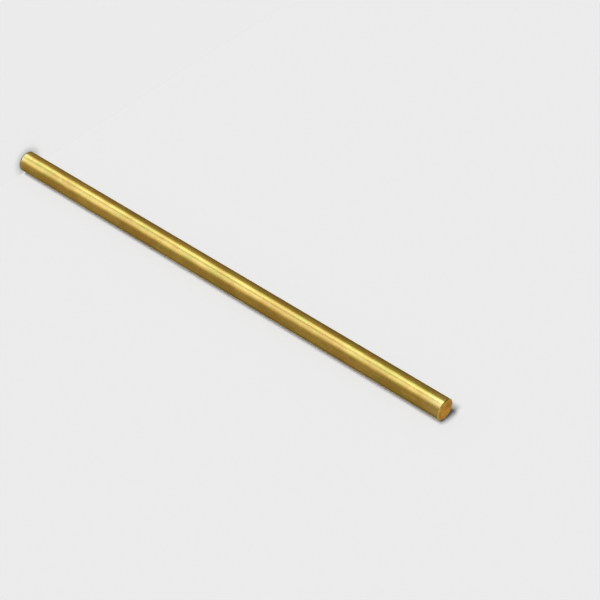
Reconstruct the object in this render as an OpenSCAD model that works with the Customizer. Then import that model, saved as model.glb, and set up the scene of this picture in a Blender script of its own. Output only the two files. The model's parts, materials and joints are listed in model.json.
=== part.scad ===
/* [Bar] */
// Diameter of the drawn bar
bar_d = 8; // [3:0.5:25]
// Length over the two cut ends
bar_l = 200; // [50:5:1000]

/* [Cut ends] */
// Width of the deburred edge, measured across the end face
edge_w = 0.25; // [0.1:0.05:0.6]
// Slope of the deburred edge, measured from the side of the bar
edge_angle = 45; // [30:5:60]

/* [Hidden] */

bar_r = bar_d / 2;
// Length of the deburred edge along the bar
edge_l = edge_w / tan(edge_angle);
// Steps of the turned surface, drawn as a true cylinder in the exact solid
turn_steps = 96;
bare_brass = [0.72, 0.58, 0.25];

// Half of the bar's long section, from its axis outwards and from its lower end up
module half_section() {
    polygon([
        [0, 0],
        [bar_r - edge_w, 0],
        [bar_r, edge_l],
        [bar_r, bar_l - edge_l],
        [bar_r - edge_w, bar_l],
        [0, bar_l]
    ]);
}

// One solid bar along Z, standing on its lower end, with the middle of that end at the origin
module brass_rod() {
    color(bare_brass)
        rotate_extrude($fn = turn_steps)
            half_section();
}

brass_rod();
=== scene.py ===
"""A round brass bar, drawn, polished and cut to length, standing on its end in a light tent.

The bar is turned from its long section by Geometry Nodes, round the Z axis. Its sizes come from
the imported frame, so the turned bar fills the same space as the CAD solid that it stands for.
"""

import json
import math

import bpy
from mathutils import Matrix, Vector


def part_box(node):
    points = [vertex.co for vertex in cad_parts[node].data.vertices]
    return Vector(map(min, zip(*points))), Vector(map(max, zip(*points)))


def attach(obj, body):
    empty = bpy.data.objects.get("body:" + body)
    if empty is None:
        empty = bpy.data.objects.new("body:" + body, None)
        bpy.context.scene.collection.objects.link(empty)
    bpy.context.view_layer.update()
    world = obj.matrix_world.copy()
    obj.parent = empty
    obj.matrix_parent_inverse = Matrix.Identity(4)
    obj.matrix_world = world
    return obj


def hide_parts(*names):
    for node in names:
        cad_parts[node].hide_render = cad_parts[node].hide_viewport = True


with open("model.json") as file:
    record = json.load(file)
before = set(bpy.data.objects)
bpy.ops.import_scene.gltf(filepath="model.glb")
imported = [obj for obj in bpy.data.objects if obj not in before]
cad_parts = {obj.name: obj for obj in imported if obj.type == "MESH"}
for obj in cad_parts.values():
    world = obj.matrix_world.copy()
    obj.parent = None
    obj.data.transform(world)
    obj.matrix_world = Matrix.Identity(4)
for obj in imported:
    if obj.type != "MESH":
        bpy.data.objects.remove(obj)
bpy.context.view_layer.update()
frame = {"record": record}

bl_info = {
    "name": "Drawn Brass Bar",
    "version": (1, 0, 0),
    "blender": (4, 5, 0),
    "location": "3D View > Sidebar > Brass Bar",
    "description": "Makes a drawn round brass bar with cut ends, and the light tent it stands in",
    "category": "Add Mesh",
}

MM = 0.001
SHANK = next(mount for mount in frame["record"]["mounts"] if mount["name"] == "shank")
BAR_DIAMETER = 2 * SHANK["dims"]["r_mm"] * MM
BAR_BOTTOM, BAR_TOP = (corner.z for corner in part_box("brass_rod"))
BAR_LENGTH = BAR_TOP - BAR_BOTTOM
# The shank is the plain side, so what is left of the length is the two deburred edges
EDGE_LENGTH = (BAR_LENGTH - SHANK["dims"]["length_mm"] * MM) / 2

# The photo shows the bar lying down. This turns its view to the standing bar: the end that was
# nearest becomes the top, and what was up becomes the front, which is the -Y side.
STOOD_UP = Matrix(((0, -1, 0), (0, 0, -1), (1, 0, 0)))


def length_setting(name, description, default, least, precision=4):
    """A length that is never under the least one."""
    return bpy.props.FloatProperty(
        name=name,
        description=description,
        default=default,
        min=least,
        precision=precision,
        unit="LENGTH",
    )


def colour_setting(name, description, default, **limits):
    """A colour, or the colour and brightness of a light where there is no upper limit."""
    return bpy.props.FloatVectorProperty(
        name=name, description=description, default=default, min=0, subtype="COLOR", **limits
    )


def light_setting(name, description, default):
    """The brightness of a light."""
    return bpy.props.FloatProperty(name=name, description=description, default=default, min=0)


class BarSizes(bpy.types.PropertyGroup):
    """Sizes of the bar and of the marks that cutting it leaves"""

    diameter: length_setting("Diameter", "Diameter of the drawn bar", BAR_DIAMETER, 1 * MM)
    length: length_setting("Length", "Length over the two cut ends", BAR_LENGTH, 10 * MM)
    edge_length: length_setting(
        "Edge Length",
        "Length of the deburred edge along the bar",
        EDGE_LENGTH,
        0.01 * MM,
        precision=5,
    )
    edge_slope: bpy.props.FloatProperty(
        name="Edge Slope",
        description="Slope of the deburred edge, measured from the side of the bar",
        default=math.radians(45),
        min=math.radians(20),
        max=math.radians(70),
        subtype="ANGLE",
    )
    edge_unevenness: length_setting(
        "Edge Unevenness",
        "How much more the file took off in some places of the edge than in others",
        0.04 * MM,
        0,
        precision=5,
    )
    saw_mark_depth: length_setting(
        "Saw Mark Depth",
        "Depth of the marks that the blade left in the cut ends",
        0.02 * MM,
        0,
        precision=5,
    )
    saw_mark_pitch: length_setting(
        "Saw Mark Pitch", "Distance from one saw mark to the next", 0.5 * MM, 0.1 * MM, precision=5
    )
    blade_radius: length_setting(
        "Blade Radius",
        "Radius of the saw blade, which the arcs of the saw marks follow",
        60 * MM,
        10 * MM,
    )
    sides: bpy.props.IntProperty(
        name="Sides",
        description="Faces round the bar",
        default=192,
        min=24,
    )
    rings: bpy.props.IntProperty(
        name="Rings",
        description="Points along the side of the bar",
        default=151,
        min=2,
    )
    face_rings: bpy.props.IntProperty(
        name="Face Rings",
        description="Points from the middle of a cut end to its edge",
        default=46,
        min=2,
    )
    seed: bpy.props.IntProperty(
        name="Seed",
        description="Fixes where the uneven places and the saw marks fall",
        default=7,
    )


class BarFinish(bpy.types.PropertyGroup):
    """Colours and marks of the brass"""

    drawn_colour: colour_setting(
        "Drawn Side", "Colour of the polished side", (0.775, 0.596, 0.184), max=1
    )
    tarnish_colour: colour_setting(
        "Tarnish",
        "Colour of the darker, redder places where the bar was handled",
        (0.625, 0.438, 0.125),
        max=1,
    )
    olive_colour: colour_setting(
        "Olive Film",
        "Colour of the greener places where the polish left a film",
        (0.535, 0.508, 0.125),
        max=1,
    )
    cut_colour: colour_setting(
        "Cut Ends", "Colour of the bare metal in the sawn ends", (0.57, 0.275, 0.032), max=1
    )
    stain_colour: colour_setting(
        "Stained Cut Ends",
        "Colour of the darker places in the sawn ends, where oil has dulled them",
        (0.34, 0.175, 0.032),
        max=1,
    )
    edge_colour: colour_setting(
        "Deburred Edges", "Colour of the metal that the file bared", (0.47, 0.32, 0.08), max=1
    )
    # Paler colour of the side near its ends: a painted highlight, not a real finish
    painted_highlight_colour: colour_setting(
        "Painted Highlight Near Ends",
        "Colour of the side next to the cut ends, painted paler as a highlight",
        (0.75, 0.66, 0.26),
        max=1,
    )
    # How far from the top end the painted highlight reaches
    painted_highlight_reach: length_setting(
        "Painted Highlight Reach", "How far from the top end the painted highlight reaches", 9 * MM, 0.1 * MM
    )
    polish_pitch: length_setting(
        "Polishing Pitch",
        "Distance from one polishing mark to the next",
        0.45 * MM,
        0.05 * MM,
        precision=5,
    )
    polish_lead: length_setting(
        "Polishing Lead", "How far the belt moved along the bar in one turn of it", 12 * MM, 1 * MM
    )
    draw_line_pitch: length_setting(
        "Draw Line Pitch",
        "Distance from one line that the die left to the next, round the bar",
        0.5 * MM,
        0.05 * MM,
        precision=5,
    )
    smudge_size: length_setting("Smudge Size", "Usual size of a handled place", 6 * MM, 1 * MM)


class TentSettings(bpy.types.PropertyGroup):
    """Light, floor and camera"""

    floor_colour: colour_setting("Floor", "Colour of the floor", (0.82, 0.82, 0.82), max=1)
    board_colour: colour_setting(
        "Board", "Colour of the upright board behind the bar", (0.82, 0.82, 0.82), max=1
    )
    backdrop: light_setting(
        "Backdrop", "Brightness of what the camera sees past the floor, where 1 is white", 0.831
    )
    low_colour: colour_setting(
        "Low Wall",
        "Light of the wall below the horizon, which the side of the bar mirrors",
        (0.355, 0.27, 0.16),
    )
    foot_light: light_setting(
        "Foot of the Wall", "How much brighter the low wall gets towards its foot", 0.4
    )
    far_colour: colour_setting(
        "Far Low Wall", "Light of the same wall on the far side of the bar", (0.158, 0.134, 0.064)
    )
    front_light: light_setting(
        "High Front Wall", "Brightness of the front wall above the horizon, where 1 is white", 0.12
    )
    back_light: light_setting(
        "High Back Wall", "Brightness of the back wall above the horizon, where 1 is white", 0.75
    )
    ceiling_light: light_setting(
        "Ceiling", "Brightness that the ceiling has over the walls, where 1 is white", 1.0
    )
    main_colour: colour_setting(
        "Main Strip", "Colour of the upright strip light in front", (0.86, 1.0, 1.14)
    )
    main_edge_colour: colour_setting(
        "Main Strip Edge",
        "Colour of the main strip light where its soft sides fade out",
        (0.93, 1.05, 0.6),
    )
    main_strip: light_setting(
        "Main Strip Brightness", "Brightness of the upright strip light in front", 1.52
    )
    second_colour: colour_setting(
        "Second Strip",
        "Colour of the strip lights beside the main one and behind the bar",
        (0.91, 1.0, 1.33),
    )
    second_edge_colour: colour_setting(
        "Second Strip Edge",
        "Colour of those strip lights where their soft sides fade out",
        (1.0, 0.85, 0.38),
    )
    second_strip: light_setting(
        "Second Strip Brightness", "Brightness of the upright strip light beside the main one", 1.05
    )
    back_strip: light_setting(
        "Back Strip Brightness", "Brightness of the upright strip light behind the bar", 1.3
    )
    soft_light: colour_setting(
        "Soft Light",
        "Light from all round on the floor and board, which fills their shadows",
        (0.105, 0.112, 0.12),
    )
    lamp_colour: colour_setting(
        "Lamps", "Colour of the lamps over the floor and the board", (1.008, 1.0, 0.992)
    )
    board_lamp: light_setting(
        "Board Lamp Brightness",
        "Brightness of each of the lamps in the row that faces the board",
        0.803,
    )
    floor_lamp: light_setting(
        "Floor Lamp Brightness", "Brightness of the lamp over the floor", 2.832
    )


def put(tree, kind, joins=(), **options):
    """Adds a node to a tree, sets its options, and joins or fills its inputs."""
    node = tree.nodes.new(kind)
    for option, choice in options.items():
        setattr(node, option, choice)
    for key, value in dict(joins).items():
        if isinstance(value, bpy.types.NodeSocket):
            tree.links.new(value, node.inputs[key])
        else:
            node.inputs[key].default_value = value
    return node


def calc(tree, operation, *values):
    """One Math node's result."""
    return put(tree, "ShaderNodeMath", enumerate(values), operation=operation).outputs[0]


def turned_over(tree, value):
    """A value with its sign turned over."""
    return calc(tree, "MULTIPLY", value, -1.0)


def point(tree, x, y):
    """A point of the long section, in the two values that turned_section explains."""
    return put(tree, "ShaderNodeCombineXYZ", {"X": x, "Y": y}).outputs[0]


def new_group(name, kind, inputs, outputs):
    """An empty node group with these inputs and outputs, each a name and a kind of socket."""
    tree = bpy.data.node_groups.new(name, kind)
    for title, socket in inputs:
        tree.interface.new_socket(title, in_out="INPUT", socket_type=socket)
    for title, socket in outputs:
        tree.interface.new_socket(title, in_out="OUTPUT", socket_type=socket)
    return tree


def ranged(tree, value, low, high):
    """A value from 0 to 1, laid out between low and high."""
    return put(
        tree, "ShaderNodeMapRange", {"Value": value, "To Min": low, "To Max": high}
    ).outputs["Result"]


def soft_step(tree, value, low, high):
    """Rises smoothly from 0 at low to 1 at high."""
    return put(
        tree,
        "ShaderNodeMapRange",
        {"Value": value, "From Min": low, "From Max": high},
        interpolation_type="SMOOTHSTEP",
    ).outputs["Result"]


BAR_INPUTS = (
    ("Diameter", "NodeSocketFloat"),
    ("Length", "NodeSocketFloat"),
    ("Edge Width", "NodeSocketFloat"),
    ("Edge Length", "NodeSocketFloat"),
    ("Edge Unevenness", "NodeSocketFloat"),
    ("Saw Mark Depth", "NodeSocketFloat"),
    ("Saw Mark Pitch", "NodeSocketFloat"),
    ("Blade Radius", "NodeSocketFloat"),
    ("Sides", "NodeSocketInt"),
    ("Rings", "NodeSocketInt"),
    ("Face Rings", "NodeSocketInt"),
    ("Edge Rings", "NodeSocketInt"),
    ("Seed", "NodeSocketInt"),
    ("Side Finish", "NodeSocketMaterial"),
    ("Edge Finish", "NodeSocketMaterial"),
    ("End Finish", "NodeSocketMaterial"),
)
GEOMETRY_OUT = (("Geometry", "NodeSocketGeometry"),)
# The unrolled side is cut into this many lengths, which lie side by side on the map
MAP_LENGTHS = 3
# Free space round each of them, as a share of the bar's girth
MAP_GAP = 0.03
# Points closer than this are one point
WELD = 0.0005 * MM
# How far a face's normal points up or down: less than the first on the side of the bar, and more
# than the second on an end
SIDE_RISE = 0.2
END_RISE = 0.95
# Points along the section of each deburred edge
EDGE_RINGS = 5
# Faces that meet at more than this have a sharp border between them
BORDER_ANGLE = math.radians(25)
# The saw marks fade out over this distance from the rim of the cut end
SAW_MARK_FADE = 0.3 * MM
# Moves the noise of each end on, for each metre from the middle, so that the two ends differ
END_SHIFT = 1000.0
# How fine the places are where the file took more, in places for each metre
FILED_PLACES = 0.35 / MM


def turned_stretch(tree, guide, start, end, count):
    """One stretch of the long section, turned once round the bar's axis."""
    line = put(tree, "GeometryNodeCurvePrimitiveLine", {"Start": start, "End": end})
    rings = put(tree, "GeometryNodeResampleCurve", {"Curve": line.outputs[0], "Count": count})
    return put(
        tree, "GeometryNodeCurveToMesh", {"Curve": guide, "Profile Curve": rings.outputs[0]}
    ).outputs[0]


def turned_section(tree, given, radius):
    """The whole skin of the bar: an end, its edge, the side, the other edge and the other end.
    The guide is a circle round the foot of the bar's surface. A point of the section is given by
    how far it is outside that surface and how far below the ground, so neither is above 0."""
    circle = put(
        tree, "GeometryNodeCurvePrimitiveCircle", {"Resolution": given["Sides"], "Radius": radius}
    )
    guide = put(
        tree, "GeometryNodeSetCurveNormal", {"Curve": circle.outputs[0]}, mode="Z_UP"
    ).outputs[0]
    axis = turned_over(tree, radius)
    rim = turned_over(tree, given["Edge Width"])
    low = turned_over(tree, given["Edge Length"])
    top = turned_over(tree, given["Length"])
    high = calc(tree, "ADD", top, given["Edge Length"])
    section = (
        point(tree, axis, 0.0),
        point(tree, rim, 0.0),
        point(tree, 0.0, low),
        point(tree, 0.0, high),
        point(tree, rim, top),
        point(tree, axis, top),
    )
    counts = ("Face Rings", "Edge Rings", "Rings", "Edge Rings", "Face Rings")
    skin = put(tree, "GeometryNodeJoinGeometry")
    for start, end, count in zip(section, section[1:], counts):
        stretch = turned_stretch(tree, guide, start, end, given[count])
        tree.links.new(stretch, skin.inputs[0])
    whole = put(
        tree, "GeometryNodeMergeByDistance", {"Geometry": skin.outputs[0], "Distance": WELD}
    )
    # Turned this way round, the faces look inwards
    return put(tree, "GeometryNodeFlipFaces", {0: whole.outputs[0]}).outputs[0]


def saw_marks(tree, skin, given, place, away, rim):
    """Arcs across both cut ends, as deep as the noise says, that fade out before the rim."""
    here = put(tree, "ShaderNodeSeparateXYZ", {0: place})
    middle = calc(tree, "MULTIPLY", given["Length"], 0.5)
    from_middle = calc(tree, "SUBTRACT", here.outputs["Z"], middle)
    end_start = calc(tree, "SUBTRACT", middle, WELD)
    at_end = calc(tree, "GREATER_THAN", calc(tree, "ABSOLUTE", from_middle), end_start)
    # The blade came in from one side, and its centre stayed out there
    blade = put(tree, "ShaderNodeCombineXYZ", {"X": given["Blade Radius"], "Z": here.outputs["Z"]})
    reach = put(tree, "ShaderNodeVectorMath", {0: place, 1: blade.outputs[0]}, operation="DISTANCE")
    turn = calc(tree, "DIVIDE", reach.outputs["Value"], given["Saw Mark Pitch"])
    start = calc(tree, "ADD", turn, calc(tree, "MULTIPLY", from_middle, END_SHIFT))
    noise = put(
        tree,
        "ShaderNodeTexNoise",
        {"W": calc(tree, "ADD", start, given["Seed"]), "Scale": 1.0, "Detail": 1.0},
        noise_dimensions="1D",
    )
    room = calc(tree, "SUBTRACT", rim, away)
    fade = put(
        tree,
        "ShaderNodeMapRange",
        {"Value": room, "From Min": 0.0, "From Max": SAW_MARK_FADE, "To Min": 0.0, "To Max": 1.0},
    )
    depth = calc(tree, "MULTIPLY", given["Saw Mark Depth"], noise.outputs["Fac"])
    sunk = calc(tree, "MULTIPLY", depth, fade.outputs["Result"])
    inwards = calc(tree, "SIGN", turned_over(tree, from_middle))
    offset = put(tree, "ShaderNodeCombineXYZ", {"Z": calc(tree, "MULTIPLY", sunk, inwards)})
    return put(
        tree,
        "GeometryNodeSetPosition",
        {"Geometry": skin, "Selection": at_end, "Offset": offset.outputs[0]},
    ).outputs[0]


def filed_edges(tree, skin, given, place, away, rim):
    """The file took a little more off the edges in some places than in others."""
    here = put(tree, "ShaderNodeSeparateXYZ", {0: place})
    middle = calc(tree, "MULTIPLY", given["Length"], 0.5)
    from_middle = calc(tree, "ABSOLUTE", calc(tree, "SUBTRACT", here.outputs["Z"], middle))
    edge_start = calc(tree, "SUBTRACT", calc(tree, "SUBTRACT", middle, given["Edge Length"]), WELD)
    past_side = calc(tree, "GREATER_THAN", from_middle, edge_start)
    past_rim = calc(tree, "GREATER_THAN", away, calc(tree, "SUBTRACT", rim, WELD))
    noise = put(
        tree,
        "ShaderNodeTexNoise",
        {"Vector": place, "W": given["Seed"], "Scale": FILED_PLACES, "Detail": 2.0},
        noise_dimensions="4D",
    )
    taken = calc(tree, "MULTIPLY", noise.outputs["Fac"], given["Edge Unevenness"])
    out = put(tree, "ShaderNodeCombineXYZ", {"X": here.outputs["X"], "Y": here.outputs["Y"]})
    outwards = put(tree, "ShaderNodeVectorMath", {0: out.outputs[0]}, operation="NORMALIZE")
    offset = put(
        tree,
        "ShaderNodeVectorMath",
        {0: outwards.outputs[0], "Scale": turned_over(tree, taken)},
        operation="SCALE",
    )
    return put(
        tree,
        "GeometryNodeSetPosition",
        {
            "Geometry": skin,
            "Selection": calc(tree, "MULTIPLY", past_side, past_rim),
            "Offset": offset.outputs[0],
        },
    ).outputs[0]


def finished_faces(tree, skin, given, rise):
    """Smooth faces with sharp borders between side, edges and ends, and a finish for each."""
    bend = put(tree, "GeometryNodeInputMeshEdgeAngle").outputs["Unsigned Angle"]
    border = calc(tree, "GREATER_THAN", bend, BORDER_ANGLE)
    smooth = put(
        tree,
        "GeometryNodeSetShadeSmooth",
        {"Geometry": skin, "Selection": border, "Shade Smooth": False},
        domain="EDGE",
    )
    real = put(tree, "GeometryNodeRealizeInstances", {0: smooth.outputs[0]})
    dressed = put(
        tree,
        "GeometryNodeSetMaterial",
        {"Geometry": real.outputs[0], "Material": given["Edge Finish"]},
    )
    for finish, test, limit in (
        ("Side Finish", "LESS_THAN", SIDE_RISE),
        ("End Finish", "GREATER_THAN", END_RISE),
    ):
        dressed = put(
            tree,
            "GeometryNodeSetMaterial",
            {
                "Geometry": dressed.outputs[0],
                "Selection": calc(tree, test, rise, limit),
                "Material": given[finish],
            },
        )
    return dressed.outputs[0]


def averaged(tree, value):
    """A vector, averaged over each face."""
    return put(
        tree, "GeometryNodeFieldOnDomain", {0: value}, data_type="FLOAT_VECTOR", domain="FACE"
    ).outputs[0]


def unrolled_map(tree, skin, given, radius, place, rise):
    """The UV map that the finish is baked through: the side is unrolled, cut into equal lengths
    and laid side by side, and the two ends lie above them."""
    girth = calc(tree, "MULTIPLY", radius, 2 * math.pi)
    gap = calc(tree, "MULTIPLY", girth, MAP_GAP)
    step = calc(tree, "ADD", girth, gap)
    across = calc(tree, "MULTIPLY", step, MAP_LENGTHS)
    size = calc(tree, "ADD", across, gap)
    here = put(tree, "ShaderNodeSeparateXYZ", {0: place})
    face = averaged(tree, place)
    centre = put(tree, "ShaderNodeSeparateXYZ", {0: face})
    # Measured from each face's own middle, so that no face is torn where the side is cut open
    heading = calc(tree, "ARCTAN2", centre.outputs["Y"], centre.outputs["X"])
    from_face = put(
        tree,
        "ShaderNodeVectorRotate",
        {"Vector": place, "Angle": turned_over(tree, heading)},
        rotation_type="Z_AXIS",
    )
    beside = put(tree, "ShaderNodeSeparateXYZ", {0: from_face.outputs[0]})
    aside = calc(tree, "ARCTAN2", beside.outputs["Y"], beside.outputs["X"])
    round_side = calc(tree, "MULTIPLY", calc(tree, "ADD", heading, aside), radius)
    cut = calc(tree, "DIVIDE", given["Length"], MAP_LENGTHS)
    number = calc(tree, "FLOOR", calc(tree, "DIVIDE", centre.outputs["Z"], cut))
    shift = calc(tree, "MULTIPLY", step, calc(tree, "ADD", number, 0.5))
    half_gap = calc(tree, "MULTIPLY", gap, 0.5)
    side_u = calc(tree, "ADD", calc(tree, "ADD", round_side, shift), half_gap)
    along = calc(tree, "SUBTRACT", here.outputs["Z"], calc(tree, "MULTIPLY", number, cut))
    side_v = calc(tree, "ADD", along, gap)
    upper = calc(tree, "GREATER_THAN", centre.outputs["Z"], cut)
    twice_upper = calc(tree, "MULTIPLY", upper, 2.0)
    disc = calc(tree, "ADD", radius, gap)
    disc_u = calc(tree, "MULTIPLY", disc, calc(tree, "ADD", twice_upper, 1.0))
    disc_v = calc(tree, "ADD", disc, gap)
    # Each end is laid out as it looks from outside, so the lower one is the other way round
    side_out = calc(tree, "SUBTRACT", twice_upper, 1.0)
    end_u = calc(tree, "ADD", calc(tree, "MULTIPLY", here.outputs["X"], side_out), disc_u)
    end_v = calc(tree, "ADD", calc(tree, "ADD", here.outputs["Y"], cut), disc_v)
    on_end = calc(tree, "GREATER_THAN", rise, SIDE_RISE)
    side = put(tree, "ShaderNodeCombineXYZ", {"X": side_u, "Y": side_v})
    end = put(tree, "ShaderNodeCombineXYZ", {"X": end_u, "Y": end_v})
    spot = put(tree, "ShaderNodeMix", {0: on_end}, data_type="VECTOR")
    tree.links.new(side.outputs[0], spot.inputs[4])
    tree.links.new(end.outputs[0], spot.inputs[5])
    scaled_spot = put(
        tree,
        "ShaderNodeVectorMath",
        {0: spot.outputs[1], "Scale": calc(tree, "DIVIDE", 1.0, size)},
        operation="SCALE",
    )
    return put(
        tree,
        "GeometryNodeStoreNamedAttribute",
        {"Geometry": skin, "Name": "OFBake", "Value": scaled_spot.outputs[0]},
        data_type="FLOAT2",
        domain="CORNER",
    ).outputs[0]


def turned_bar_tree():
    """The Geometry Nodes group that turns a bar from its long section and marks its ends."""
    tree = new_group("turned bar", "GeometryNodeTree", BAR_INPUTS, GEOMETRY_OUT)
    given = put(tree, "NodeGroupInput").outputs
    radius = calc(tree, "MULTIPLY", given["Diameter"], 0.5)
    rim = calc(tree, "SUBTRACT", radius, given["Edge Width"])
    skin = turned_section(tree, given, radius)
    place = put(tree, "GeometryNodeInputPosition").outputs[0]
    flat = put(tree, "ShaderNodeVectorMath", {0: place, 1: (1.0, 1.0, 0.0)}, operation="MULTIPLY")
    length = put(tree, "ShaderNodeVectorMath", {0: flat.outputs[0]}, operation="LENGTH")
    away = length.outputs["Value"]
    skin = saw_marks(tree, skin, given, place, away, rim)
    skin = filed_edges(tree, skin, given, place, away, rim)
    facing = averaged(tree, put(tree, "GeometryNodeInputNormal").outputs[0])
    rise = calc(tree, "ABSOLUTE", put(tree, "ShaderNodeSeparateXYZ", {0: facing}).outputs["Z"])
    skin = unrolled_map(tree, skin, given, radius, place, rise)
    put(tree, "NodeGroupOutput", {0: finished_faces(tree, skin, given, rise)})
    return tree


# How strongly the finest strands of the lines show
LINE_ROUGHNESS = 0.6


def fine_lines_group():
    """Fine parallel lines in the metal. Twist winds them round the bar, and at zero they run
    straight along it."""
    tree = new_group(
        "fine lines",
        "ShaderNodeTree",
        (
            ("Vector", "NodeSocketVector"),
            ("Twist", "NodeSocketFloat"),
            ("Lines per Metre", "NodeSocketFloat"),
            ("Breaks per Metre", "NodeSocketFloat"),
            ("Detail", "NodeSocketFloat"),
        ),
        (("Lines", "NodeSocketFloat"),),
    )
    given = put(tree, "NodeGroupInput").outputs
    here = put(tree, "ShaderNodeSeparateXYZ", {0: given["Vector"]})
    angle = calc(tree, "MULTIPLY", here.outputs["Z"], given["Twist"])
    wound = put(
        tree,
        "ShaderNodeVectorRotate",
        {"Vector": given["Vector"], "Angle": angle},
        rotation_type="Z_AXIS",
    )
    scale = put(
        tree,
        "ShaderNodeCombineXYZ",
        {
            "X": given["Lines per Metre"],
            "Y": given["Lines per Metre"],
            "Z": given["Breaks per Metre"],
        },
    )
    stretched = put(
        tree,
        "ShaderNodeVectorMath",
        {0: wound.outputs[0], 1: scale.outputs[0]},
        operation="MULTIPLY",
    )
    noise = put(
        tree,
        "ShaderNodeTexNoise",
        {
            "Vector": stretched.outputs[0],
            "Scale": 1.0,
            "Detail": given["Detail"],
            "Roughness": LINE_ROUGHNESS,
        },
    )
    put(tree, "NodeGroupOutput", {0: noise.outputs["Fac"]})
    return tree


# How strongly the smallest spots of the handled places show
PLACE_ROUGHNESS = 0.64
# The metal is clean where the noise is below the first, and fully dulled above the second
CLEAN_BELOW = 0.41
DULLED_ABOVE = 0.61


def handled_places_group():
    """Soft-edged places where the brass was handled and has dulled."""
    tree = new_group(
        "handled places",
        "ShaderNodeTree",
        (
            ("Vector", "NodeSocketVector"),
            ("Size", "NodeSocketFloat"),
            ("Stretch", "NodeSocketFloat"),
            ("Seed", "NodeSocketFloat"),
        ),
        (("Mask", "NodeSocketFloat"),),
    )
    given = put(tree, "NodeGroupInput").outputs
    per_metre = calc(tree, "DIVIDE", 1.0, given["Size"])
    along = calc(tree, "DIVIDE", per_metre, given["Stretch"])
    scale = put(tree, "ShaderNodeCombineXYZ", {"X": per_metre, "Y": per_metre, "Z": along})
    stretched = put(
        tree,
        "ShaderNodeVectorMath",
        {0: given["Vector"], 1: scale.outputs[0]},
        operation="MULTIPLY",
    )
    noise = put(
        tree,
        "ShaderNodeTexNoise",
        {
            "Vector": stretched.outputs[0],
            "W": given["Seed"],
            "Scale": 1.0,
            "Detail": 4.0,
            "Roughness": PLACE_ROUGHNESS,
        },
        noise_dimensions="4D",
    )
    mask = soft_step(tree, noise.outputs["Fac"], CLEAN_BELOW, DULLED_ABOVE)
    put(tree, "NodeGroupOutput", {0: mask})
    return tree


# Colour of the brass where it is seen at a flat angle
FLAT_ANGLE_TINT = (1.0, 0.86, 0.6, 1.0)
COAT_ROUGHNESS = 0.2


def brass(name, coat):
    """A metal under as much clear film of polish or oxide as coat says, from 0 to 1. The caller
    joins its colour, roughness and relief."""
    material = bpy.data.materials.new(name)
    material.use_nodes = True
    tree = material.node_tree
    shader = tree.nodes["Principled BSDF"]
    shader.inputs["Metallic"].default_value = 1.0
    shader.inputs["Specular Tint"].default_value = FLAT_ANGLE_TINT
    shader.inputs["Coat Weight"].default_value = coat
    shader.inputs["Coat Roughness"].default_value = COAT_ROUGHNESS
    return material, tree, shader


def place_on_bar(tree):
    """Where the shaded point is on the bar, in metres."""
    return put(tree, "ShaderNodeTexCoord").outputs["Object"]


def use(tree, group, joins):
    """Places a node group and returns its first output."""
    return put(tree, "ShaderNodeGroup", joins, node_tree=group).outputs[0]


def blended(tree, amount, first, second):
    """A colour between two colours."""
    node = put(tree, "ShaderNodeMix", {0: amount}, data_type="RGBA")
    for key, colour in ((6, first), (7, second)):
        if isinstance(colour, bpy.types.NodeSocket):
            tree.links.new(colour, node.inputs[key])
        else:
            node.inputs[key].default_value = (*colour, 1.0)
    return node.outputs[2]


def scaled(tree, colour, factor):
    """A colour times a factor."""
    return put(
        tree, "ShaderNodeVectorMath", {0: colour, "Scale": factor}, operation="SCALE"
    ).outputs[0]


def raised(tree, height, distance, normal=None):
    """A Bump node's normal for a height from 0 to 1 that stands for this many metres."""
    joins = {"Height": height, "Distance": distance, "Strength": 1.0}
    if normal:
        joins["Normal"] = normal
    return put(tree, "ShaderNodeBump", joins).outputs[0]


# What the marks do where they are lowest and where they are highest. First, factors on the colour
POLISH_TONE = (0.90, 1.10)
DRAW_TONE = (0.78, 1.22)
SCRATCH_TONE = (0.8, 1.2)
# Then the roughness that they give
POLISHED_ROUGHNESS = (0.20, 0.31)
SAWN_ROUGHNESS = (0.36, 0.58)
FILED_ROUGHNESS = (0.28, 0.42)
# And how much of the other colour a clean and a fully dulled place have
SMUDGE_SHARE = (0.0, 0.9)
EDGE_SHARE = (0.0, 0.4)
# How often the marks break off, in breaks for each metre along the bar
POLISH_BREAKS = 60.0
DRAW_BREAKS = 9.0
FILE_BREAKS = 300.0
# How deep the marks are
LINE_DEPTH = 0.006 * MM
SCRATCH_DEPTH = 0.012 * MM
FILE_DEPTH = 0.004 * MM
# The painted highlight near the base reaches over this share of its reach at the top
HIGHLIGHT_BASE_SHARE = 1 / 3
# The film comes in places of this share of the smudges' size, but longer along the bar
FILM_SHARE = 1 / 2
# The side keeps a thin clear film, and the cuts are bare
SIDE_COAT = 0.2
NO_COAT = 0.0
# The file's marks wind round the edge with this lead
FILE_LEAD = 1.5 * MM
# How fine the file's marks, the blade's scratches and the grain of the cut are, for each metre
FILE_LINES = 3.0 / MM
SCRATCHES = 1.0 / MM
GRAINS = 4.0 / MM
# The scratches run at this angle, and are finer across their run than along it
SCRATCH_TURN = math.radians(20)
SCRATCH_STRETCH = (5.0, 0.4, 1.0)
# Usual size of the stains on the cut ends and of the worn places on the edges
STAIN_SIZE = 1.5 * MM
WEAR_SIZE = 2.0 * MM


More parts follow.
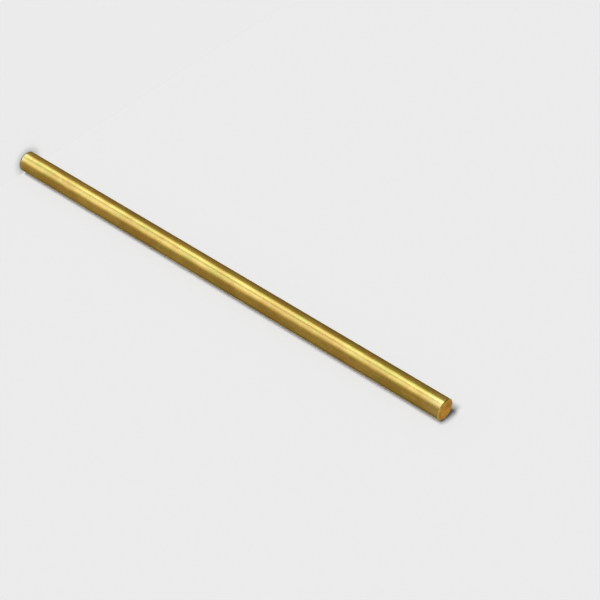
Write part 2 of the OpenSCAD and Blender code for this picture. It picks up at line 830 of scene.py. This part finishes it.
def drawn_side(finish, length, lines, handled):
    """The side: drawn through a die and polished by a belt that wound round it. Near the ends its
    colour is paler, a painted highlight that is strongest at the top end."""
    material, tree, shader = brass("drawn side", SIDE_COAT)
    place = place_on_bar(tree)
    twist = 2 * math.pi / finish.polish_lead
    polish = use(
        tree,
        lines,
        {
            "Vector": place,
            "Twist": twist,
            "Lines per Metre": 1 / finish.polish_pitch,
            "Breaks per Metre": POLISH_BREAKS,
            "Detail": 3.0,
        },
    )
    draw = use(
        tree,
        lines,
        {
            "Vector": place,
            "Twist": 0.0,
            "Lines per Metre": 1 / finish.draw_line_pitch,
            "Breaks per Metre": DRAW_BREAKS,
            "Detail": 2.0,
        },
    )
    dull = use(
        tree, handled, {"Vector": place, "Size": finish.smudge_size, "Stretch": 1.6, "Seed": 3.0}
    )
    film_size = finish.smudge_size * FILM_SHARE
    film = use(tree, handled, {"Vector": place, "Size": film_size, "Stretch": 4.0, "Seed": 8.0})
    olive = ranged(tree, film, *SMUDGE_SHARE)
    clean = blended(tree, olive, finish.drawn_colour, finish.olive_colour)
    worn = blended(tree, ranged(tree, dull, *SMUDGE_SHARE), clean, finish.tarnish_colour)
    height = put(tree, "ShaderNodeSeparateXYZ", {0: place}).outputs["Z"]
    # Painted highlight: the side's colour turns paler near its two ends, most at the top
    highlight_at_base = soft_step(tree, height, finish.painted_highlight_reach * HIGHLIGHT_BASE_SHARE, 0.0)
    highlight_at_top = soft_step(tree, height, length - finish.painted_highlight_reach, length)
    bright = blended(tree, calc(tree, "MAXIMUM", highlight_at_base, highlight_at_top), worn, finish.painted_highlight_colour)
    lengthwise = ranged(tree, draw, *DRAW_TONE)
    streak = calc(tree, "MULTIPLY", ranged(tree, polish, *POLISH_TONE), lengthwise)
    tree.links.new(scaled(tree, bright, streak), shader.inputs["Base Color"])
    tree.links.new(ranged(tree, polish, *POLISHED_ROUGHNESS), shader.inputs["Roughness"])
    normal = raised(tree, draw, LINE_DEPTH)
    tree.links.new(raised(tree, polish, LINE_DEPTH, normal), shader.inputs["Normal"])
    return material


def sawn_end(finish, handled):
    """The cut ends: bare, matt, with the fine scratches of the blade's teeth."""
    material, tree, shader = brass("sawn end", NO_COAT)
    place = place_on_bar(tree)
    grain = put(
        tree, "ShaderNodeTexNoise", {"Vector": place, "Scale": GRAINS, "Detail": 4.0}
    ).outputs["Fac"]
    turned = put(
        tree,
        "ShaderNodeMapping",
        {"Vector": place, "Rotation": (0.0, 0.0, SCRATCH_TURN), "Scale": SCRATCH_STRETCH},
    )
    scratches = put(
        tree,
        "ShaderNodeTexNoise",
        {"Vector": turned.outputs[0], "Scale": SCRATCHES, "Detail": 3.0},
    ).outputs["Fac"]
    dull = use(tree, handled, {"Vector": place, "Size": STAIN_SIZE, "Stretch": 1.0, "Seed": 9.0})
    shade = blended(tree, dull, finish.cut_colour, finish.stain_colour)
    streaked = scaled(tree, shade, ranged(tree, scratches, *SCRATCH_TONE))
    tree.links.new(streaked, shader.inputs["Base Color"])
    tree.links.new(ranged(tree, grain, *SAWN_ROUGHNESS), shader.inputs["Roughness"])
    normal = raised(tree, grain, LINE_DEPTH)
    tree.links.new(raised(tree, scratches, SCRATCH_DEPTH, normal), shader.inputs["Normal"])
    return material


def deburred_edge(finish, lines, handled):
    """The edges: bare metal with the marks of the file round them."""
    material, tree, shader = brass("deburred edge", NO_COAT)
    place = place_on_bar(tree)
    strokes = use(
        tree,
        lines,
        {
            "Vector": place,
            "Twist": 2 * math.pi / FILE_LEAD,
            "Lines per Metre": FILE_LINES,
            "Breaks per Metre": FILE_BREAKS,
            "Detail": 2.0,
        },
    )
    dull = use(tree, handled, {"Vector": place, "Size": WEAR_SIZE, "Stretch": 1.0, "Seed": 5.0})
    share = ranged(tree, dull, *EDGE_SHARE)
    colour = blended(tree, share, finish.edge_colour, finish.drawn_colour)
    tree.links.new(colour, shader.inputs["Base Color"])
    tree.links.new(ranged(tree, strokes, *FILED_ROUGHNESS), shader.inputs["Roughness"])
    tree.links.new(raised(tree, strokes, FILE_DEPTH), shader.inputs["Normal"])
    return material


def settle_into_mesh(piece):
    """Turns what the piece's modifiers make into its own plain mesh, and removes them."""
    graph = bpy.context.evaluated_depsgraph_get()
    shown = piece.evaluated_get(graph)
    mesh = bpy.data.meshes.new_from_object(shown, preserve_all_data_layers=True, depsgraph=graph)
    piece.modifiers.clear()
    piece.data = mesh
    mesh.name = piece.name
    # The modifier starts its list of materials with an empty one, which no face has
    mesh.materials.pop(index=0)


def turn_bar(sizes, finishes):
    """The bar as one plain mesh, made by the turned bar tree."""
    tree = turned_bar_tree()
    piece = bpy.data.objects.new("round_bar", bpy.data.meshes.new("round_bar"))
    bpy.context.scene.collection.objects.link(piece)
    modifier = piece.modifiers.new("turned bar", "NODES")
    modifier.node_group = tree
    values = {
        "Diameter": sizes.diameter,
        "Length": sizes.length,
        "Edge Width": sizes.edge_length * math.tan(sizes.edge_slope),
        "Edge Length": sizes.edge_length,
        "Edge Unevenness": sizes.edge_unevenness,
        "Saw Mark Depth": sizes.saw_mark_depth,
        "Saw Mark Pitch": sizes.saw_mark_pitch,
        "Blade Radius": sizes.blade_radius,
        "Sides": sizes.sides,
        "Rings": sizes.rings,
        "Face Rings": sizes.face_rings,
        "Edge Rings": EDGE_RINGS,
        "Seed": sizes.seed,
        **finishes,
    }
    for item in tree.interface.items_tree:
        if item.in_out == "INPUT":
            modifier[item.identifier] = values[item.name]
    settle_into_mesh(piece)
    return piece


class BRASSBAR_OT_make_bar(bpy.types.Operator):
    """Turn the brass bar, finish its side, edges and ends, and put it in place of the CAD solid"""

    bl_idname = "brassbar.make_bar"
    bl_label = "Make Brass Bar"

    def execute(self, context):
        sizes = context.scene.brassbar_sizes
        finish = context.scene.brassbar_finish
        lines = fine_lines_group()
        handled = handled_places_group()
        finishes = {
            "Side Finish": drawn_side(finish, sizes.length, lines, handled),
            "Edge Finish": deburred_edge(finish, lines, handled),
            "End Finish": sawn_end(finish, handled),
        }
        bar = turn_bar(sizes, finishes)
        if not bar.data.polygons:
            raise RuntimeError("the bar has no faces")
        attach(bar, "root")
        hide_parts("brass_rod")
        return {"FINISHED"}


# The middle of the bar mirrors to the photo's camera what is at this elevation
SEEN_ELEVATION = -30
# The strip lights reach from the first elevation to the second
STRIP_BOTTOM = -60
STRIP_TOP = 5
# Softness of their two ends, in the upward part of a direction
END_SOFTNESS = 0.08


def strip_light(azimuth, half_width, left, right, lean=0.0, spread=0.0):
    """An upright strip light. Its azimuth goes round the bar from the front, -Y, towards +X, and
    its sides are as soft as left and right say. All of these are in degrees. Lean is how many
    degrees it turns further on with each degree upwards, and spread how many degrees its half
    width grows."""
    return {
        "Azimuth": math.radians(azimuth - lean * SEEN_ELEVATION),
        "Lean": lean,
        "Half Width": math.radians(half_width - spread * SEEN_ELEVATION),
        "Spread": spread,
        "Left Softness": math.radians(left),
        "Right Softness": math.radians(right),
        "Bottom": math.sin(math.radians(STRIP_BOTTOM)),
        "Top": math.sin(math.radians(STRIP_TOP)),
    }


# From the photo's camera past the bar, level: as an azimuth, and as a direction
FAR_AZIMUTH = 218
FAR_SIDE = (math.sin(math.radians(FAR_AZIMUTH)), -math.cos(math.radians(FAR_AZIMUTH)), 0.0)
MAIN_STRIP = strip_light(-8.5, 15.5, 13, 3)
SECOND_STRIP = strip_light(34.5, 19.7, 4, 20, lean=-0.6, spread=-0.4)
BACK_STRIP = strip_light(FAR_AZIMUTH, 19, 9, 9)


def upright_strip_group():
    """How much of an upright strip light lies in a direction, from 0 to 1."""
    tree = new_group(
        "upright strip",
        "ShaderNodeTree",
        (
            ("Direction", "NodeSocketVector"),
            ("Azimuth", "NodeSocketFloat"),
            ("Lean", "NodeSocketFloat"),
            ("Half Width", "NodeSocketFloat"),
            ("Spread", "NodeSocketFloat"),
            ("Left Softness", "NodeSocketFloat"),
            ("Right Softness", "NodeSocketFloat"),
            ("Bottom", "NodeSocketFloat"),
            ("Top", "NodeSocketFloat"),
        ),
        (("Light", "NodeSocketFloat"),),
    )
    given = put(tree, "NodeGroupInput").outputs
    height = put(tree, "ShaderNodeSeparateXYZ", {0: given["Direction"]}).outputs["Z"]
    elevation = calc(tree, "ARCSINE", height)
    azimuth = calc(tree, "ADD", given["Azimuth"], calc(tree, "MULTIPLY", elevation, given["Lean"]))
    turned = put(
        tree,
        "ShaderNodeVectorRotate",
        {"Vector": given["Direction"], "Angle": turned_over(tree, azimuth)},
        rotation_type="Z_AXIS",
    )
    here = put(tree, "ShaderNodeSeparateXYZ", {0: turned.outputs[0]})
    aside = calc(tree, "ARCTAN2", here.outputs["X"], turned_over(tree, here.outputs["Y"]))
    growth = calc(tree, "MULTIPLY", elevation, given["Spread"])
    half = calc(tree, "ADD", given["Half Width"], growth)
    light = 1.0
    for distance, edge, softness in (
        (aside, half, given["Right Softness"]),
        (turned_over(tree, aside), half, given["Left Softness"]),
        (height, given["Top"], END_SOFTNESS),
        (turned_over(tree, height), turned_over(tree, given["Bottom"]), END_SOFTNESS),
    ):
        inner = calc(tree, "SUBTRACT", edge, softness)
        outer = calc(tree, "ADD", edge, softness)
        light = calc(tree, "MULTIPLY", light, soft_step(tree, distance, outer, inner))
    put(tree, "NodeGroupOutput", {0: light})
    return tree


def added(tree, first, second):
    """The sum of two colours."""
    return put(tree, "ShaderNodeVectorMath", {0: first, 1: second}, operation="ADD").outputs[0]


# Where the parts of the light tent give way to each other, in the upward part of a direction:
# the low wall to the high one, the low wall to its brighter foot, the high wall to the ceiling
HORIZON = (-0.05, 0.1)
FOOT = (-0.58, -0.76)
CEILING_RIM = (0.8, 0.9)
# The same in the backward part, and in the part that points away from the camera
FRONT_TO_BACK = (-0.15, 0.15)
NEAR_TO_FAR = (0.0, 0.8)
# A path that has left a matt surface has a diffuse depth of 1 or more
MATT_DEPTH = 0.5


def light_tent(tent):
    """A tent of cloth all round, pale above the horizon and dim below it, with a bright ceiling and
    upright strip lights. Only the metal mirrors it: the matt floor and board have soft light from
    all round and lamps of their own, and the camera sees a plain pale backdrop past them."""
    world = bpy.data.worlds.new("light tent")
    bpy.context.scene.world = world
    world.use_nodes = True
    world.cycles.sampling_method = "NONE"
    tree = world.node_tree
    strip = upright_strip_group()
    path = put(tree, "ShaderNodeLightPath").outputs
    direction = put(tree, "ShaderNodeTexCoord").outputs["Generated"]
    here = put(tree, "ShaderNodeSeparateXYZ", {0: direction})
    height = here.outputs["Z"]
    high = soft_step(tree, height, *HORIZON)
    low = calc(tree, "SUBTRACT", 1.0, high)
    behind = soft_step(tree, here.outputs["Y"], *FRONT_TO_BACK)
    ceiling = calc(tree, "MULTIPLY", soft_step(tree, height, *CEILING_RIM), tent.ceiling_light)
    wall = calc(tree, "ADD", ranged(tree, behind, tent.front_light, tent.back_light), ceiling)
    high_wall = put(tree, "ShaderNodeCombineXYZ", {"X": wall, "Y": wall, "Z": wall}).outputs[0]
    far = put(tree, "ShaderNodeVectorMath", {0: direction, 1: FAR_SIDE}, operation="DOT_PRODUCT")
    farness = soft_step(tree, far.outputs["Value"], *NEAR_TO_FAR)
    low_wall = blended(tree, farness, tent.low_colour, tent.far_colour)
    foot = calc(tree, "MULTIPLY", soft_step(tree, height, *FOOT), tent.foot_light)
    low_light = calc(tree, "ADD", low, foot)
    total = added(tree, scaled(tree, high_wall, high), scaled(tree, low_wall, low_light))
    for place, strength, core, edge in (
        (MAIN_STRIP, tent.main_strip, tent.main_colour, tent.main_edge_colour),
        (SECOND_STRIP, tent.second_strip, tent.second_colour, tent.second_edge_colour),
        (BACK_STRIP, tent.back_strip, tent.second_colour, tent.second_edge_colour),
    ):
        light = use(tree, strip, {"Direction": direction, **place})
        colour = blended(tree, calc(tree, "MULTIPLY", light, light), edge, core)
        total = added(tree, total, scaled(tree, colour, calc(tree, "MULTIPLY", light, strength)))
    on_matt = calc(tree, "GREATER_THAN", path["Diffuse Depth"], MATT_DEPTH)
    lit = blended(tree, on_matt, total, tent.soft_light)
    backdrop = (tent.backdrop, tent.backdrop, tent.backdrop)
    shown = blended(tree, path["Is Camera Ray"], lit, backdrop)
    tree.links.new(shown, tree.nodes["Background"].inputs["Color"])


def one_sided(name, colour):
    """A plain matt colour that only shows from the front, so that it never hides the bar."""
    material = bpy.data.materials.new(name)
    material.use_nodes = True
    tree = material.node_tree
    tree.nodes.remove(tree.nodes["Principled BSDF"])
    matt = put(tree, "ShaderNodeBsdfDiffuse", {"Color": (*colour, 1.0)})
    clear = put(tree, "ShaderNodeBsdfTransparent")
    behind = put(tree, "ShaderNodeNewGeometry").outputs["Backfacing"]
    mixed = put(tree, "ShaderNodeMixShader", {0: behind, 1: matt.outputs[0], 2: clear.outputs[0]})
    tree.links.new(mixed.outputs[0], tree.nodes["Material Output"].inputs["Surface"])
    return material


SQUARE = ((-1, -1), (1, -1), (1, 1), (-1, 1))
# Half the width of the stage's sheets
SHEET_HALF = 4.0


def flat_sheet(name, place, facing, colour):
    """A large flat sheet of the stage, which takes the bar's shadow. Only the camera sees it, so
    the metal mirrors the tent alone."""
    turn = Vector(facing).to_track_quat("Z", "Y").to_matrix()
    corners = [
        Vector(place) + turn @ Vector((x * SHEET_HALF, y * SHEET_HALF, 0)) for x, y in SQUARE
    ]
    mesh = bpy.data.meshes.new(name)
    mesh.from_pydata(corners, [], [(0, 1, 2, 3)])
    mesh.materials.append(one_sided(name, colour))
    sheet = bpy.data.objects.new(name, mesh)
    bpy.context.scene.collection.objects.link(sheet)
    sheet.visible_diffuse = False
    sheet.visible_glossy = False
    sheet.visible_transmission = False
    sheet.visible_shadow = False


# The photo's camera, in millimetres and degrees
SENSOR_WIDTH = 36.0
FOCAL_LENGTH = 116.11
HEADING = 42.07
LOOKS_DOWN = 42.40
ROLL = -0.907
# It sees from the first distance to the second, in metres
CLIP_START = 0.01
CLIP_END = 20.0
# Its place over the floor in metres, measured with the bar lying along X: the bar's middle is over
# the origin and its nearest end at +X
CAMERA_PLACE = (0.360514, -0.358394, 0.455766)


def photo_camera():
    """The photo's camera, turned with the bar from lying to standing."""
    lens = bpy.data.cameras.new("photo camera")
    lens.sensor_width = SENSOR_WIDTH
    lens.lens = FOCAL_LENGTH
    lens.clip_start = CLIP_START
    lens.clip_end = CLIP_END
    camera = bpy.data.objects.new("photo camera", lens)
    bpy.context.scene.collection.objects.link(camera)
    heading = Matrix.Rotation(math.radians(HEADING), 3, "Z")
    pitch = Matrix.Rotation(math.radians(90 - LOOKS_DOWN), 3, "X")
    roll = Matrix.Rotation(math.radians(ROLL), 3, "Z")
    along, across, up = CAMERA_PLACE
    from_bar = Vector((along, across, up - BAR_DIAMETER / 2))
    pose = (STOOD_UP @ heading @ pitch @ roll).to_4x4()
    pose.translation = STOOD_UP @ from_bar + Vector((0, 0, BAR_LENGTH / 2))
    camera.matrix_world = pose
    bpy.context.scene.camera = camera


# How far each lamp in the row over the lying bar leans to the viewer, and to the far end
ROW_LEANS = ((12, 15), (21, 9), (31, 5), (36, 4))
# How wide the lamps look, in degrees
BOARD_LAMP_WIDTH = 12
FLOOR_LAMP_WIDTH = 2


def matt_lamp(name, width, turn, energy, tent):
    """A far round lamp, which looks as many degrees wide as width says. It lights the matt floor
    and board and gives them the bar's shadow, and the metal doesn't mirror it. Unturned, it hangs
    straight over the bar."""
    light = bpy.data.lights.new(name, "SUN")
    light.color = tent.lamp_colour
    light.energy = energy
    light.angle = math.radians(width)
    lamp = bpy.data.objects.new(name, light)
    bpy.context.scene.collection.objects.link(lamp)
    lamp.visible_glossy = False
    lamp.matrix_world = turn.to_4x4()


def matt_lamps(tent):
    """The photo's row of lamps over the lying bar, turned with the bar like the camera, and a lamp
    over the floor."""
    for viewer_lean, far_lean in ROW_LEANS:
        to_viewer = Matrix.Rotation(math.radians(viewer_lean), 3, "X")
        to_far_end = Matrix.Rotation(math.radians(-far_lean), 3, "Y")
        turn = STOOD_UP @ to_viewer @ to_far_end
        matt_lamp("board lamp", BOARD_LAMP_WIDTH, turn, tent.board_lamp, tent)
    matt_lamp("floor lamp", FLOOR_LAMP_WIDTH, Matrix.Identity(3), tent.floor_lamp, tent)


class BRASSBAR_OT_set_stage(bpy.types.Operator):
    """Set up the pale floor and board, the light tent and the photo's camera"""

    bl_idname = "brassbar.set_stage"
    bl_label = "Set Stage"

    def execute(self, context):
        tent = context.scene.brassbar_tent
        photo_camera()
        light_tent(tent)
        matt_lamps(tent)
        flat_sheet("floor", (0, 0, 0), (0, 0, 1), tent.floor_colour)
        flat_sheet("board", (0, BAR_DIAMETER / 2, 0), (0, -1, 0), tent.board_colour)
        context.scene.view_settings.view_transform = "Standard"
        return {"FINISHED"}


class BRASSBAR_PT_panel(bpy.types.Panel):
    """Sizes, finish and stage of the brass bar"""

    bl_idname = "BRASSBAR_PT_panel"
    bl_label = "Brass Bar"
    bl_space_type = "VIEW_3D"
    bl_region_type = "UI"
    bl_category = "Brass Bar"

    def draw(self, context):
        scene = context.scene
        for settings, operator in (
            (scene.brassbar_sizes, None),
            (scene.brassbar_finish, "brassbar.make_bar"),
            (scene.brassbar_tent, "brassbar.set_stage"),
        ):
            box = self.layout.box()
            for name in settings.__annotations__:
                box.prop(settings, name)
            if operator:
                box.operator(operator)


CLASSES = (
    BarSizes,
    BarFinish,
    TentSettings,
    BRASSBAR_OT_make_bar,
    BRASSBAR_OT_set_stage,
    BRASSBAR_PT_panel,
)


def register():
    """Registers the classes and hangs the settings on the scene."""
    for cls in CLASSES:
        bpy.utils.register_class(cls)
    bpy.types.Scene.brassbar_sizes = bpy.props.PointerProperty(type=BarSizes)
    bpy.types.Scene.brassbar_finish = bpy.props.PointerProperty(type=BarFinish)
    bpy.types.Scene.brassbar_tent = bpy.props.PointerProperty(type=TentSettings)


def unregister():
    """Takes the settings and the classes away again."""
    del bpy.types.Scene.brassbar_tent
    del bpy.types.Scene.brassbar_finish
    del bpy.types.Scene.brassbar_sizes
    for cls in reversed(CLASSES):
        bpy.utils.unregister_class(cls)


def main():
    """Makes the bar and its stage."""
    register()
    bpy.ops.brassbar.make_bar()
    bpy.ops.brassbar.set_stage()


if __name__ == "__main__":
    main()
